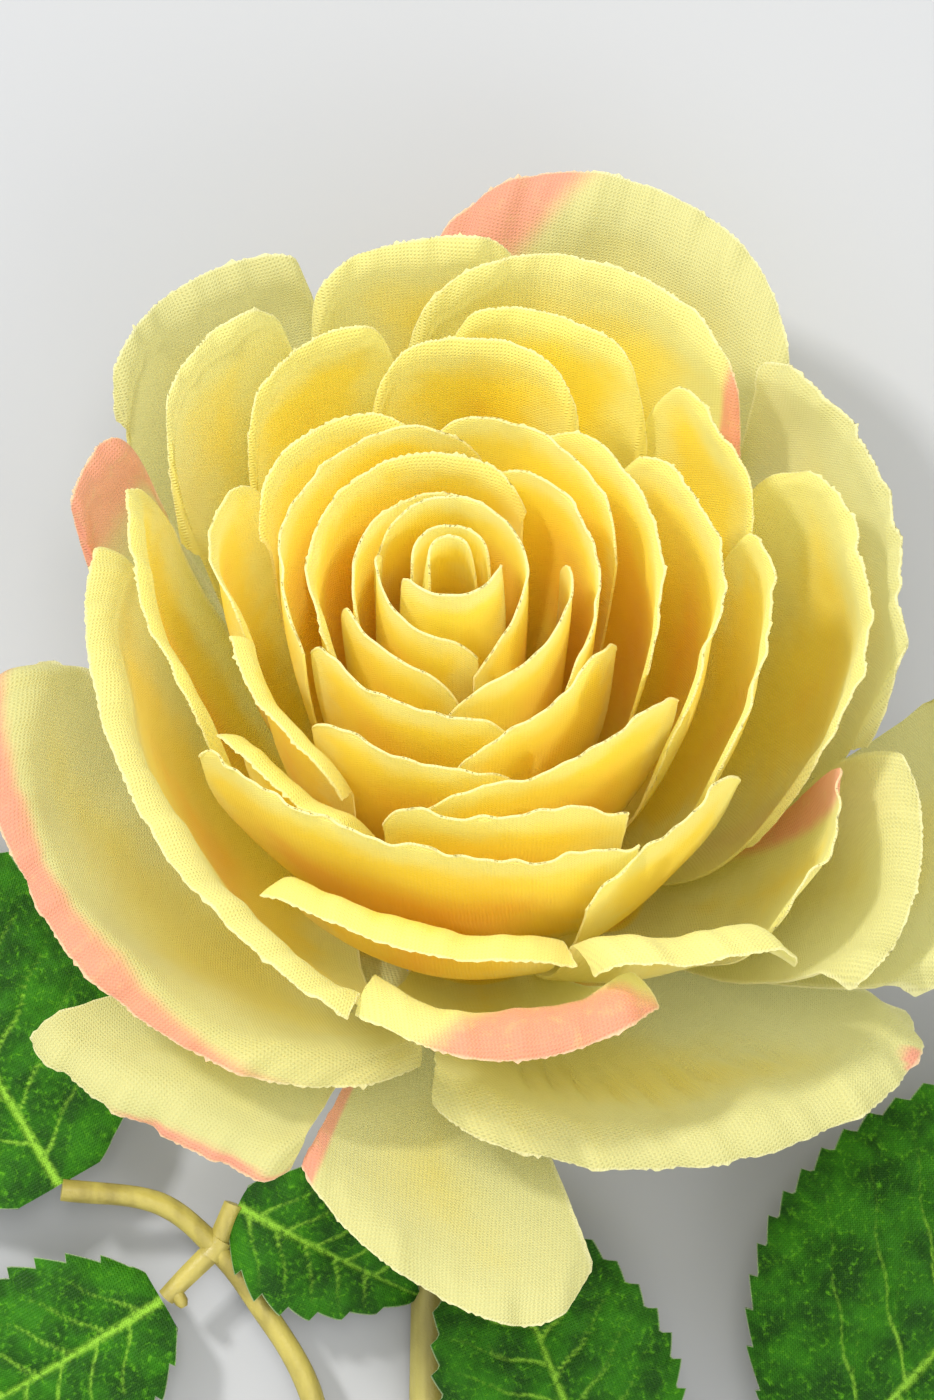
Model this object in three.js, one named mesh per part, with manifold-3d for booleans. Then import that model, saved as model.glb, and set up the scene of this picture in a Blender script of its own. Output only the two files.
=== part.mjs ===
// A single long-stemmed fabric rose, lying on a flat surface with its open bloom facing up.
// Millimetres, +Z up. The stem runs along Y, with the bloom at the +Y end.
//
// Each petal is one die-cut, heat-formed sheet of cloth. Its base sits on the receptacle, its body
// follows a cup, and its edge may roll outward. The cups nest: a petal with a larger rim starts
// lower on the receptacle, so the sheets never meet.
import * as THREE from 'three';
import { mergeVertices } from 'three/addons/utils/BufferGeometryUtils.js';
import Module from 'manifold-3d';

const wasm = await Module();
wasm.setup();

// ---- driving dimensions (mm, degrees) ----
const BLOOM_TILT = 30;          // the bloom's axis leans from +Z towards +Y
const BLOOM_LIFT = 31;          // height of the bloom's base above the surface it lies on
const CLOTH = 0.35;             // thickness of a petal
const CLAW_ANGLE = 20;          // half the angle that a petal's narrow base takes up
const CREST = 0.82;             // share of a petal's length up to where its edge starts to roll
const RECEPTACLE_RADIUS = 3.2;  // the peg at its top, where the bud petals sit
const RECEPTACLE_FLARE = 3.6;   // how much wider the peg is at its foot
const SEAT_TOP = 14;            // the height that the petals' bases step down from
const SEAT_STEP = 3;            // how fast they step down as the petals get wider
const OUTERMOST = 78;           // a crest radius just beyond the widest petal's
const PETAL_STACK = 1.2;        // room for the outermost petals' bases above the calyx
const CORE_TIP = 44;            // height of the peg's point above the bloom's base
const FIT_GAP = 0.4;            // clearance between pieces that touch
const REST_GAP = 0.3;           // height of the stem above the surface
const CALYX_DEPTH = 11;
const CALYX_NECK = 4.4;
const SEPAL_LENGTH = 17;
const SEPAL_WIDTH = 7;
const SEPAL_BEND = 6;
const SEPAL_THICKNESS = 0.7;
const STEM_RADIUS = 2.6;
const STEM_SOCKET = 7;          // how deep the stem goes into the calyx
const STEM_END = -372;          // Y of the cut end, from the bloom's base
const STALK_PEGS = [-112, -152];  // Y of the left and the right leaf stalk's peg on the stem
const PEG_ANGLE = 35;           // how far a peg leans towards the bloom
const PEG_RADIUS = 1.0;
const PEG_LENGTH = 5;
const STALK_RADIUS = 1.35;
const SLEEVE_LENGTH = 8;
const SLEEVE_WALL = 0.75;
const LEAF_THICKNESS = 0.5;
const LEAF_FOLD = 0.1;          // how steeply a leaflet's halves rise from its midrib
const TOOTH_PITCH = 5.4;
const TOOTH_DEPTH = 0.9;

// routes of the leaf stalks, from the sleeve outward, in the rose's frame with the bloom's base at x = y = 0
const LEFT_ROUTE = [[-18.6, -76, 6.5], [-25, -64.6, 7.4], [-30.9, -56.8, 8.4], [-38, -51, 9.4], [-50.7, -49, 11]];
const LEFT_BRANCHES = [
  [[-30.9, -56.8, 8.4], [-34.6, -60.4, 8.2], [-37.4, -63.3, 8]],
  [[-30.9, -56.8, 8.4], [-29.6, -53.6, 8.8], [-28.6, -51, 9]],
];
const RIGHT_ROUTE = [[8, -124, 6], [20, -110.5, 8], [31.7, -100, 10], [47, -85.9, 13]];
const RIGHT_BRANCHES = [
  [[31.7, -100, 10], [26, -96, 10.4], [20.4, -91, 10.6]],
  [[31.7, -100, 10], [38, -101.6, 10], [44, -102, 9.6]],
];
// name, stalk end, heading, length, width, height of the tip, rise of the middle
const LEAFLETS = [
  ['left_leaflet_1', [-50.7, -49, 11], 120, 60, 40, 2, 4],
  ['left_leaflet_2', [-37.4, -63.3, 8], 211, 45, 27, 1, 5],
  ['left_leaflet_3', [-28.6, -51, 9], -27, 26, 19, 2 * STEM_RADIUS + REST_GAP + 0.5, 3],  // over the stem
  ['right_leaflet_1', [47, -85.9, 13], 50, 75, 54, 8, 12],
  ['right_leaflet_2', [20.4, -91, 10.6], 112, 46, 31, 6, 6],
  ['right_leaflet_3', [44, -102, 9.6], -12, 46, 30, 1, 5],
];
// how far the corners of each ring's petals are cut down, as shares of a petal's length
const CORNER_DROP = { bud: 0.08, inner: 0.08, middle: 0.25, outer: 0.25, guard: 0.25 };
const COLOURS = {
  heart: 0xf6c01c, lemon: 0xf4dc62, pale: 0xe8dd82, plastic: 0x9a9440, leaf: 0x2c5a1c,
};

const rad = THREE.MathUtils.degToRad;
const smooth = (x) => THREE.MathUtils.smoothstep(x, 0, 1);

// ---- the petals ----
// name, the azimuths of its two side edges (degrees from +X towards +Y, seen from the front),
// how far the outer edge lies from the bloom's axis at the first side, the middle and the second side,
// and how high that edge stands above the bloom's base at the same three places.
// lip: [length, angle] of the edge that rolls outward beyond the crest
// drop: how far the two corners are cut down, as shares of the petal's length
// round: how square the outline is
// wave: [height, waves, start] of a ripple along the edge
// sink: sits as low on the peg as a petal that is this much wider
const PETALS = [
  // bud
  ['bud_petal_1', 23, 207, [2.5, 3.1, 2.5], 61.5],
  ['bud_petal_2', 5, 195, [4.0, 4.9, 4.3], 61],
  ['bud_petal_3', 190, 370, [5.7, 5.3, 5.7], 62, { drop: [0.05, 0.05], sink: 2.4 }],
  ['bud_petal_4', 160, 290, [8.9, 8.7, 8.6], [61, 59, 56.5], { drop: [0.05, 0.05] }],
  ['bud_petal_5', -75, 160, [10, 8.3, 9.6], [56.5, 61, 61]],
  ['bud_petal_6', 62, 206, [9.2, 10.6, 12.0], 60],
  ['bud_petal_7', 188, 274, [13, 12.5, 12.4], [58, 57, 54.5]],
  ['bud_petal_8', 268, 378, [13.9, 14.1, 13.6], [54.5, 57.5, 58.5]],
  // inner ring
  ['inner_petal_1', 53, 207, [14.6, 16.6, 16.4], 59.5, { lip: [3, 35] }],
  ['inner_petal_2', -42, 76, [18.2, 16.8, 16.6], 59],
  ['inner_petal_3', 200, 296, [17.6, 16.9, 18.2], [57, 55.5, 53]],
  ['inner_petal_4', 270, 345, [20.8, 19.2, 20.2], [52, 55, 56]],
  ['inner_petal_5', 80, 202, [20.2, 21.0, 18.9], 58.5],
  ['inner_petal_6', 16, 97, [20.4, 21.8, 22.4], 58],
  ['inner_petal_7', 100, 157, [22.6, 26.4, 25.0], 57, { lip: [3, 40] }],
  ['inner_petal_8', 143, 186, [28.4, 29.6, 24.8], 54, { lip: [3, 30] }],
  ['inner_petal_9', 187, 240, [26.4, 26.6, 26.0], [55, 53, 50], { lip: [5, 65] }],
  ['inner_petal_10', 222, 290, [22.2, 22.2, 22.6], [54, 52.5, 50.5]],
  ['inner_petal_11', -22, 64, [24.4, 25.0, 26.2], 57, { lip: [2, 30] }],
  ['inner_petal_12', 260, 338, [25, 25.6, 28.6], [50, 52.5, 54]],
  // middle ring
  ['middle_petal_1', -34, 52, [30.0, 31.6, 29.6], 55.5, { lip: [2, 30] }],
  ['middle_petal_2', 60, 110, [33.0, 37.2, 33.0], 52, { lip: [3, 40] }],
  ['middle_petal_3', 208, 250, [31.2, 30.6, 29.4], [49, 48, 47], { drop: [0.06, 0.06], lip: [5, 75] }],
  ['middle_petal_4', 253, 308, [27.6, 28.6, 33.2], 51, { drop: [0.1, 0.03], wave: [1.2, 1.5, 0] }],
  ['middle_petal_5', -32, 24, [36.4, 37.6, 36.6], 53, { lip: [2, 30] }],
  ['middle_petal_6', 206, 306, [33.8, 31.2, 36.8], [50, 48.5, 48.5], { drop: [0.12, 0.03] }],
  ['middle_petal_7', 20, 57, [39.4, 41.4, 43.6], 49, { lip: [2, 30], drop: [0.35, 0.3] }],
  ['middle_petal_8', 146, 208, [46.4, 36.6, 31.4], [50, 48.5, 47], { lip: [4, 55] }],
  ['middle_petal_9', 97, 137, [41.0, 40.6, 34.6], 51, { lip: [3, 40] }],
  ['middle_petal_10', 53, 94, [41.0, 43.6, 41.8], 50, { lip: [3, 40], sink: -4 }],
  ['middle_petal_11', 294.5, 333, [38.0, 37.4, 38.8], [45, 46, 48], { drop: [0.08, 0.12] }],
  ['middle_petal_12', 235, 290, [38.6, 40.4, 42.6], [42.5, 41, 40], { drop: [0.08, 0.06], lip: [7, 95] }],
  // outer ring
  ['outer_petal_1', 112, 146, [49.4, 48.8, 42.0], 49, { lip: [3, 50] }],
  ['outer_petal_2', 291.5, 319, [44.4, 50.2, 55.4], [41.5, 40.5, 38], { lip: [9, 90], drop: [0.08, 0.2] }],
  ['outer_petal_3', 158, 254.5, [46.4, 42.0, 46.6], [44, 39.5, 35], { drop: [0.12, 0.06], lip: [6, 80] }],
  ['outer_petal_4', 256, 300, [45, 50.6, 49.4], [34, 32.5, 35],
    { lip: [9, 105], drop: [0.08, 0.08], sink: 4 }],
  ['outer_petal_5', -26, 37, [42.6, 49.8, 46.0], [39, 46.5, 47], { lip: [3, 40] }],
  ['outer_petal_6', 40, 99, [47.6, 54.6, 46.4], 47, { lip: [4, 40] }],
  ['outer_petal_7', 319, 347, [50.4, 50.0, 47.0], [34, 37, 40], { sink: 2 }],
  ['outer_petal_8', 79, 111, [57.4, 56.4, 53.6], 45, { lip: [4, 50], sink: 2 }],
  // guard petals
  ['guard_petal_1', 165, 264, [57.2, 54.4, 45], [30, 19, 12], { lip: [6, 85] }],
  ['guard_petal_2', -6, 47, [52.6, 55.6, 57], [42, 45, 43], { lip: [3, 40], drop: [0.2, 0.06], round: 12 }],
  ['guard_petal_3', 106, 138, [60, 62.4, 57], 40, { lip: [5, 50], drop: [0.2, 0.1], round: 10 }],
  ['guard_petal_4', 322, 352, [61.4, 60, 52.4], [28, 32, 36],
    { lip: [6, 70], drop: [0.06, 0.2], round: 10 }],
  ['guard_petal_5', 267, 331, [46, 62.5, 78], [8, 13, 20],
    { lip: [7, 80], drop: [0.06, 0.34], round: 3.5 }],
  ['guard_petal_6', 44, 96, [60.0, 73.0, 66.0], 38, { lip: [8, 50], drop: [0.2, 0.25], round: 4 }],
  ['guard_petal_7', 327, 363, [69, 68.6, 64], [24, 28, 32], { lip: [6, 70], drop: [0.1, 0.1], round: 12 }],
  ['guard_petal_8', 250.5, 285, [55, 67, 78], 4, { lip: [5, 40], drop: [0.03, 0.24], round: 4 }],
  ['guard_petal_9', 213, 249.5, [62.6, 58.8, 57.4], 5, { lip: [6, 80], drop: [0.02, 0.06], round: 16 }],
  ['guard_petal_10', 138.5, 157, [54, 52.8, 51.4], 37, { lip: [4, 50] }],
];

// The value at u (-1 to 1) of a curve through three values at the first side, middle and second side.
function across(values, u) {
  const [first, middle, last] = Array.isArray(values) ? values : [values, values, values];
  return middle + u * (last - first) / 2 + u * u * ((last + first) / 2 - middle);
}

// Where the base of the petal with this crest radius sits: its distance from the axis and its height.
// The receptacle widens downward, and a wider petal sits lower on it.
function seat(rim) {
  const widening = RECEPTACLE_FLARE * (1 - Math.exp(-Math.max(rim - 3, 0) / 8));
  return new THREE.Vector2(RECEPTACLE_RADIUS + widening, SEAT_TOP - SEAT_STEP * Math.sqrt(rim));
}

// The cup from a base point up to a crest at (rim, high): its four Bezier points in (radius, height).
function cup(base, rim, high) {
  const rise = high - base.y;
  const belly = 4 * Math.exp(-rim / 6);
  const reach = Math.max(rim - base.x, 0);
  const flare = 0.35 * THREE.MathUtils.clamp((40 - high) / 40, 0, 1);
  return [
    base,
    new THREE.Vector2(base.x + 0.62 * reach, base.y + 0.08 * rise),
    new THREE.Vector2((0.97 - flare) * rim + belly, base.y + 0.5 * rise),
    new THREE.Vector2(rim, high),
  ];
}

// Where the point (u, v) of a petal lies: u from side to side (-1 to 1), v from base to edge (0 to 1).
function petalPoint([name, first, last, rims, heights, shape = {}], u, v) {
  const corner = CORNER_DROP[name.split('_')[0]];
  const { lip = [0.8, 12], drop = [corner, corner], round = 6, wave = [0, 1, 0], sink = 0 } = shape;
  const half = (last - first) / 2;
  const bend = rad(lip[1]);
  const radius = lip[0] / bend;
  const claw = Math.min(0.9, CLAW_ANGLE / half);
  const spread = THREE.MathUtils.lerp(claw, 1, smooth(Math.min(1, v * 1.9)));
  const turn = rad(first + half + half * spread * u);

  const base = seat(across(rims, 0) - radius * (1 - Math.cos(bend)) + sink);
  base.x += FIT_GAP + CLOTH;
  const ripple = wave[0] * Math.sin(Math.PI * wave[1] * u + rad(wave[2]));
  const edge = new THREE.Vector2(across(rims, u), across(heights, u) + ripple);
  const upright = cup(base, edge.x, edge.y);
  const slope = upright[3].clone().sub(upright[2]).normalize();
  const roll = (angle, along) => along.clone().multiplyScalar(radius * Math.sin(angle))
    .add(new THREE.Vector2(along.y, -along.x).multiplyScalar(radius * (1 - Math.cos(angle))));
  const crest = edge.clone().sub(roll(bend, slope));

  const curve = new THREE.CubicBezierCurve(...cup(base, crest.x, crest.y));
  const t = Math.min(v / CREST, 1) * (1 - drop[u < 0 ? 0 : 1] * Math.abs(u) ** round);
  const place = curve.getPoint(t);
  if (v > CREST) {
    place.add(roll(bend * (v - CREST) / (1 - CREST), curve.getTangent(t)));
  }
  return new THREE.Vector3(place.x * Math.cos(turn), place.x * Math.sin(turn), place.y);
}

// A closed sheet of even thickness around the surface point(u, v), with columns by rows of quads.
function sheet(point, thickness, columns, rows, uLow = -1) {
  const positions = [];
  const step = 1e-3;
  const faces = [];
  for (const side of [1, -1]) {
    for (let j = 0; j <= rows; j++) {
      for (let i = 0; i <= columns; i++) {
        const u = uLow + (1 - uLow) * i / columns;
        const v = j / rows;
        const du = point(Math.min(u + step, 1), v).sub(point(Math.max(u - step, uLow), v));
        const dv = point(u, Math.min(v + step, 1)).sub(point(u, Math.max(v - step, 0)));
        const normal = du.cross(dv).normalize();
        positions.push(...point(u, v).addScaledVector(normal, side * thickness / 2));
      }
    }
  }
  const width = columns + 1;
  const back = width * (rows + 1);
  const quad = (a, b, c, d) => faces.push(a, b, c, a, c, d);
  for (let j = 0; j < rows; j++) {
    for (let i = 0; i < columns; i++) {
      const a = j * width + i;
      quad(a, a + 1, a + 1 + width, a + width);
      quad(back + a, back + a + width, back + a + 1 + width, back + a + 1);
    }
  }
  for (let i = 0; i < columns; i++) {
    const top = rows * width + i;
    quad(i + 1, i, back + i, back + i + 1);
    quad(top, top + 1, back + top + 1, back + top);
  }
  for (let j = 0; j < rows; j++) {
    const left = j * width;
    const right = left + columns;
    quad(left, left + width, back + left + width, back + left);
    quad(right + width, right, back + right, back + right + width);
  }
  const geometry = new THREE.BufferGeometry();
  geometry.setAttribute('position', new THREE.Float32BufferAttribute(positions, 3));
  geometry.setIndex(faces);
  return geometry;
}

function material(colour, roughness = 0.85) {
  return new THREE.MeshStandardMaterial({ color: colour, roughness, metalness: 0 });
}

function piece(name, geometry, colour, roughness) {
  const mesh = new THREE.Mesh(geometry, material(colour, roughness));
  mesh.name = name;
  return mesh;
}

// A solid from a closed geometry, and back again.
function solid(geometry) {
  const plain = geometry.index ? geometry.toNonIndexed() : geometry.clone();
  plain.deleteAttribute('normal');
  plain.deleteAttribute('uv');
  const merged = mergeVertices(plain, 1e-4);
  return new wasm.Manifold(new wasm.Mesh({
    numProp: 3,
    vertProperties: merged.attributes.position.array,
    triVerts: new Uint32Array(merged.index.array),
  }));
}

function geometryOf(manifold) {
  const mesh = manifold.getMesh();
  const geometry = new THREE.BufferGeometry();
  geometry.setAttribute('position', new THREE.Float32BufferAttribute(mesh.vertProperties, 3));
  geometry.setIndex(new THREE.BufferAttribute(mesh.triVerts, 1));
  return geometry;
}

// A round rod along a smooth curve through the given points.
function rod(points, radius, sides, steps) {
  const section = new THREE.Shape();
  for (let i = 0; i < sides; i++) {
    const angle = 2 * Math.PI * i / sides;
    const x = radius * Math.cos(angle);
    const y = radius * Math.sin(angle);
    if (i === 0) section.moveTo(x, y);
    else section.lineTo(x, y);
  }
  section.closePath();
  const extrudePath = new THREE.CatmullRomCurve3(points, false, 'centripetal');
  extrudePath.getUtoTmapping = (u) => u;   // as many steps between close points as between far ones
  return new THREE.ExtrudeGeometry(section, { steps, extrudePath, curveSegments: 1 });
}

// A straight rod from one point to another.
function pin(from, to, radius, sides = 10) {
  return rod([from, from.clone().lerp(to, 0.5), to], radius, sides, 2);
}

// ---- the calyx: a moulded cup with five sepals, and the tapered peg that the petals are threaded on ----
function calyx() {
  const widest = seat(OUTERMOST);
  const floor = widest.y - CALYX_DEPTH;
  const profile = [
    new THREE.Vector2(0, floor),
    new THREE.Vector2(CALYX_NECK, floor),
    new THREE.Vector2(CALYX_NECK + 0.6, floor + 2),
    new THREE.Vector2(widest.x * 0.82, floor + CALYX_DEPTH * 0.45),
    new THREE.Vector2(widest.x + 0.6, floor + CALYX_DEPTH * 0.75),
    new THREE.Vector2(widest.x + 0.8, widest.y - PETAL_STACK),
  ];
  for (const rim of [OUTERMOST, 60, 44, 32, 22, 14, 8, 5, 3]) {
    profile.push(seat(rim));
  }
  profile.push(new THREE.Vector2(1.9, 24));
  profile.push(new THREE.Vector2(0.9, CORE_TIP - 2));
  profile.push(new THREE.Vector2(0, CORE_TIP));
  let body = solid(new THREE.LatheGeometry(profile, 16).rotateX(Math.PI / 2));
  for (let i = 0; i < 5; i++) {
    body = body.add(solid(sepal(rad(54 + 72 * i), widest, floor)));
  }
  const socket = solid(pin(
    new THREE.Vector3(0, 0, floor - 1),
    new THREE.Vector3(0, 0, floor + STEM_SOCKET),
    STEM_RADIUS + FIT_GAP,
    12,
  ));
  return geometryOf(body.subtract(socket));
}

// One sepal: a pointed blade that leaves the cup's side and bends back towards the stem.
function sepal(turn, widest, floor) {
  const blade = (u, v) => {
    const half = SEPAL_WIDTH / 2 * Math.sqrt(Math.max(1 - v, 0.02)) * (0.75 + 0.5 * v);
    const out = widest.x - 1.2 + SEPAL_LENGTH * v * (1 - 0.18 * v);
    const drop = floor + CALYX_DEPTH * 0.62 - SEPAL_BEND * v * v + 0.08 * half * u * u;
    const x = out * Math.cos(turn) - half * u * Math.sin(turn);
    const y = out * Math.sin(turn) + half * u * Math.cos(turn);
    return new THREE.Vector3(x, y, drop);
  };
  return sheet(blade, SEPAL_THICKNESS, 3, 6);
}

// ---- the stem: a plastic tube over a wire, bent under the bloom and lying along the surface ----
function inBloom(height) {
  const tilt = rad(BLOOM_TILT);
  return new THREE.Vector3(0, height * Math.sin(tilt), BLOOM_LIFT + height * Math.cos(tilt));
}

function stemRoute() {
  const socketFloor = seat(OUTERMOST).y - CALYX_DEPTH + STEM_SOCKET - FIT_GAP;
  const low = STEM_RADIUS + REST_GAP;
  return [
    inBloom(socketFloor),
    inBloom(socketFloor - STEM_SOCKET / 2),
    inBloom(socketFloor - STEM_SOCKET - 1),
    new THREE.Vector3(-0.6, -20, low + 4.2),
    new THREE.Vector3(-1.6, -34, low + 1.4),
    new THREE.Vector3(-2.8, -60, low + 0.6),
    new THREE.Vector3(-3.2, STALK_PEGS[0], low + 0.2),
    new THREE.Vector3(-3.4, STALK_PEGS[1], low),
    new THREE.Vector3(-3.0, STEM_END / 2 - 60, low),
    new THREE.Vector3(-2.0, STEM_END, low),
  ];
}

function pegRoute(side, y) {
  const route = new THREE.CatmullRomCurve3(stemRoute(), false, 'centripetal').getPoints(200);
  const at = route.reduce((a, b) => (Math.abs(b.y - y) < Math.abs(a.y - y) ? b : a));
  const way = new THREE.Vector3(side * Math.cos(rad(PEG_ANGLE)), Math.sin(rad(PEG_ANGLE)), 0.12);
  return [at, way.normalize()];
}

function stem() {
  let body = solid(rod(stemRoute(), STEM_RADIUS, 8, 30));
  STALK_PEGS.forEach((y, i) => {
    const [at, way] = pegRoute(i === 0 ? -1 : 1, y);
    const end = at.clone().addScaledVector(way, mouthAt() + PEG_LENGTH);
    body = body.add(solid(pin(at, end, PEG_RADIUS)));
  });
  return geometryOf(body);
}

// How far along its way a sleeve's mouth clears the stem.
function mouthAt() {
  const lean = rad(PEG_ANGLE);
  const sleeve = STALK_RADIUS + SLEEVE_WALL;
  return (STEM_RADIUS + FIT_GAP + sleeve * Math.sin(lean)) / Math.cos(lean);
}

// ---- a leaf stalk: a thin moulded rod with a sleeve over its peg, and a branch to each leaflet ----
function stalk(side, y, main, branches) {
  const [at, way] = pegRoute(side, y);
  const mouth = at.clone().addScaledVector(way, mouthAt());
  const back = mouth.clone().addScaledVector(way, SLEEVE_LENGTH);
  let body = solid(rod([back.clone().addScaledVector(way, -1), back, ...main], STALK_RADIUS, 8, 16));
  body = body.add(solid(pin(mouth, back, STALK_RADIUS + SLEEVE_WALL)));
  for (const branch of branches) {
    body = body.add(solid(rod(branch, STALK_RADIUS * 0.85, 6, 6)));
  }
  const bore = pin(
    mouth.clone().addScaledVector(way, -1),
    mouth.clone().addScaledVector(way, PEG_LENGTH + FIT_GAP),
    PEG_RADIUS + FIT_GAP / 2,
  );
  return geometryOf(body.subtract(solid(bore)));
}

// ---- a leaflet: a serrated blade of cloth, its heading in degrees from +X towards +Y ----
// base: [x, y, z] of its stalk end; rise: how far its middle stands above a straight line to its tip
function leaflet([, base, heading, length, width, tip, rise]) {
  const along = new THREE.Vector3(Math.cos(rad(heading)), Math.sin(rad(heading)), 0);
  const across2 = new THREE.Vector3(-along.y, along.x, 0);
  const start = new THREE.Vector3(...base).addScaledVector(along, STALK_RADIUS + FIT_GAP);
  const teeth = Math.round(length / TOOTH_PITCH);
  const rows = 2 * teeth;
  const blade = (u, v) => {
    const row = v * rows;
    const tooth = Math.abs(row - 2 * Math.round(row / 2));
    const outline = Math.sin(Math.PI * Math.min(1, v * 0.94 + 0.03) ** 0.72) ** 0.85;
    const half = Math.max(width / 2 * outline - TOOTH_DEPTH * tooth * outline ** 0.5, 0.5);
    const z = base[2] + (tip - base[2]) * v + rise * 4 * v * (1 - v)
      + LEAF_FOLD * half * Math.abs(u) - 0.012 * (half * u) ** 2;
    const place = start.clone().addScaledVector(along, length * v).addScaledVector(across2, half * u);
    place.z = z;
    return place;
  };
  return sheet(blade, LEAF_THICKNESS, 4, rows);
}

// ---- the object ----
const bloom = new THREE.Group();
bloom.rotation.x = -rad(BLOOM_TILT);
bloom.position.z = BLOOM_LIFT;
for (const petal of PETALS) {
  const [name, first, last] = petal;
  const half = (last - first) / 2;
  const columns = half > 45 ? 9 : half > 25 ? 7 : 6;
  const colour = name.startsWith('bud') ? COLOURS.heart
    : name.startsWith('guard') ? COLOURS.pale : COLOURS.lemon;
  const point = (u, v) => petalPoint(petal, u, v);
  bloom.add(piece(name, sheet(point, CLOTH, columns, 6), colour));
}
bloom.add(piece('calyx', calyx(), COLOURS.plastic, 0.5));

const rose = new THREE.Group();
rose.add(bloom);
rose.add(piece('stem', stem(), COLOURS.plastic, 0.45));
const vec = (x, y, z) => new THREE.Vector3(x, y, z);
rose.add(piece('left_stalk', stalk(-1, STALK_PEGS[0], LEFT_ROUTE.map((p) => vec(...p)),
  LEFT_BRANCHES.map((branch) => branch.map((p) => vec(...p)))), COLOURS.plastic, 0.5));
rose.add(piece('right_stalk', stalk(1, STALK_PEGS[1], RIGHT_ROUTE.map((p) => vec(...p)),
  RIGHT_BRANCHES.map((branch) => branch.map((p) => vec(...p)))), COLOURS.plastic, 0.5));
for (const leaf of LEAFLETS) {
  rose.add(piece(leaf[0], leaflet(leaf), COLOURS.leaf, 0.8));
}
rose.updateMatrixWorld(true);

// The origin is the middle of the underside of the whole rose.
const box = new THREE.Box3().setFromObject(rose, true);
rose.position.set(-(box.min.x + box.max.x) / 2, -(box.min.y + box.max.y) / 2, -box.min.z);
rose.updateMatrixWorld(true);

export default rose;
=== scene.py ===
import math

import bpy
import numpy as np
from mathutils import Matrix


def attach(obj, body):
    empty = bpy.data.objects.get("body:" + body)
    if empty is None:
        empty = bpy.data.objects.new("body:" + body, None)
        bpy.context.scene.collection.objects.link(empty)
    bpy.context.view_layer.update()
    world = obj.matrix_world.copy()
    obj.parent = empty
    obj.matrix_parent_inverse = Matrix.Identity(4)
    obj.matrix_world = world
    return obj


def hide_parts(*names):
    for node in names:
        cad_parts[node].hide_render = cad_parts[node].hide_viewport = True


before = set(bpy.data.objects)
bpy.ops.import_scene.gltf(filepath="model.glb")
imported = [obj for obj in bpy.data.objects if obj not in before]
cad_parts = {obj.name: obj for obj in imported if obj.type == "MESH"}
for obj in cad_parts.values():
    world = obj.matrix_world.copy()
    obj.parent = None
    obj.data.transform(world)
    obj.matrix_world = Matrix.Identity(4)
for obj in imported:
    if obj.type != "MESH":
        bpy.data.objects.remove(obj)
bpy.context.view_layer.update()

# ---- where the rose lies ----
# The bloom's own frame is read off the calyx: its highest point is the tip of the peg that the
# petals are threaded on. Lengths below are millimetres in the rose's own frame, as it was drawn:
# X across, Y along the stem towards the bloom, Z up from the table, the bloom's base over x = y = 0.
MM = 0.001
TILT = math.radians(30)           # the bloom's axis leans from +Z towards +Y
BLOOM_LIFT = 31.0                 # height of the bloom's base above the table
PEG_TIP = 44.0                    # height of the peg's tip above the bloom's base
BLOOM_AXES = np.array([
    [1, 0, 0], [0, math.cos(TILT), -math.sin(TILT)], [0, math.sin(TILT), math.cos(TILT)],
])
calyx_points = np.array([vertex.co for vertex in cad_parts["calyx"].data.vertices]) / MM
bloom_base = calyx_points[calyx_points[:, 2].argmax()] - PEG_TIP * BLOOM_AXES[2]
rose_shift = bloom_base - np.array([0, 0, BLOOM_LIFT])


def from_bloom(points):
    """Points in the bloom's frame, with Z up its axis, as points in the rose's frame."""
    return np.asarray(points, float) @ BLOOM_AXES + np.array([0, 0, BLOOM_LIFT])


# ---- the stem ----
# A green-tan plastic tube moulded over a wire, with a flat seam down each side. It plugs into the
# calyx, bends under the bloom and lies on the table. Two short pegs carry the leaf stalks.
STEM_RADIUS = 2.6
STEM_ROUTE_TAIL = [
    (-0.6, -20, 7.1), (-1.6, -34, 4.3), (-2.8, -60, 3.5), (-3.2, -112, 3.1),
    (-3.4, -152, 2.9), (-3.0, -246, 2.9), (-2.0, -372, 2.9),
]
PEG_WAY = math.radians(35)


def seat(rim):
    """Where a petal that reaches rim sits on the peg: its distance from the axis, and its height."""
    return np.array([
        3.2 + 3.6 * (1 - math.exp(-max(rim - 3, 0) / 8)), 14 - 3 * math.sqrt(rim),
    ])


CALYX_FLOOR = seat(78)[1] - 11
SOCKET_DEPTH = 7
STEM_GAP = 0.4                    # between the stem and what it meets
SOCKET_FLOOR = CALYX_FLOOR + SOCKET_DEPTH - STEM_GAP


def smooth_route(points, per_span=12):
    """A smooth curve through points, with per_span steps from each to the next."""
    points = np.asarray(points, float)
    ends = [2 * points[0] - points[1], *points, 2 * points[-1] - points[-2]]
    route = []
    for before, here, there, after in zip(ends, ends[1:], ends[2:], ends[3:]):
        first, span, last = [
            max(np.linalg.norm(b - a), 1e-6) ** 0.5
            for a, b in ((before, here), (here, there), (there, after))
        ]
        leave = ((here - before) / first - (there - before) / (first + span)
                 + (there - here) / span) * span
        arrive = ((there - here) / span - (after - here) / (span + last)
                  + (after - there) / last) * span
        for t in np.arange(per_span) / per_span:
            route.append(
                (2 * t ** 3 - 3 * t ** 2 + 1) * here + (t ** 3 - 2 * t ** 2 + t) * leave
                + (3 * t ** 2 - 2 * t ** 3) * there + (t ** 3 - t ** 2) * arrive
            )
    return np.array([*route, points[-1]])


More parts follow.
